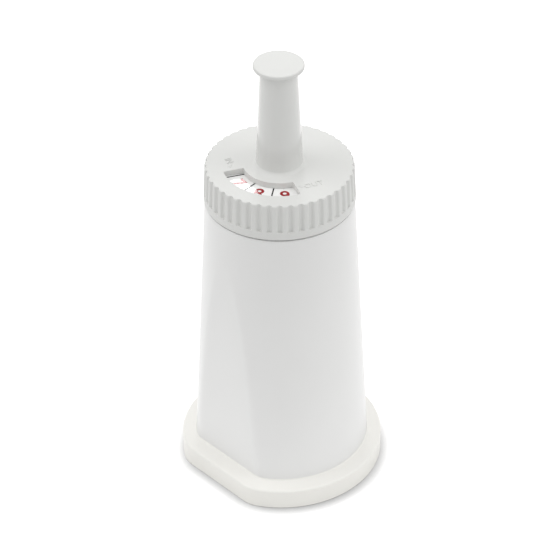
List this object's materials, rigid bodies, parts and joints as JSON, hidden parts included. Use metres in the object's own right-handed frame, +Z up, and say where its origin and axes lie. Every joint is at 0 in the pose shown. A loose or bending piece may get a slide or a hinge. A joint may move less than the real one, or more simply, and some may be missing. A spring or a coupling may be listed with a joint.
{
  "type": "water filter cartridge",
  "caption": "Tapered water filter cartridge with one flat side, a soft sealing foot, a ribbed month dial with a number window and a pull stem for lifting it from a coffee machine's tank.",
  "frame": {"origin": "centre of the outlet socket's mouth, on the plane that the soft foot stands on", "axes": "+Z up the dial's axis, towards the knob; -Y is the flat side of the body"},
  "size_m": [0.0532, 0.0502, 0.12],
  "materials": {
    "body_white": "satin white moulded plastic",
    "dial_grey": "satin light grey moulded plastic",
    "number_ring": "white, printed with month numbers",
    "soft_foot": "warm white silicone, matte",
    "floor_white": "white moulded plastic",
    "inner_white": "white moulded plastic",
    "ring_seal": "black rubber",
    "fleece": "needled white fleece",
    "granulate": "mixed resin and carbon grains"
  },
  "bodies": {
    "cartridge": {"housing": "body_white", "month_ring": "number_ring", "base_seal": "soft_foot", "base_plate": "floor_white", "outlet_seal": "ring_seal", "bed_tube": "inner_white", "tube_lid": "inner_white", "lower_strainer": "inner_white", "upper_fleece": "fleece", "lower_fleece": "fleece", "filter_bed": "granulate"},
    "dial": {"dial_cap": "dial_grey"}
  },
  "joints": [
    {"name": "dial_turn", "type": "hinge", "parent": "cartridge", "child": "dial", "pos_m": [0, 0, 0.085], "axis": [0, 0, 1], "continuous": true}
  ]
}
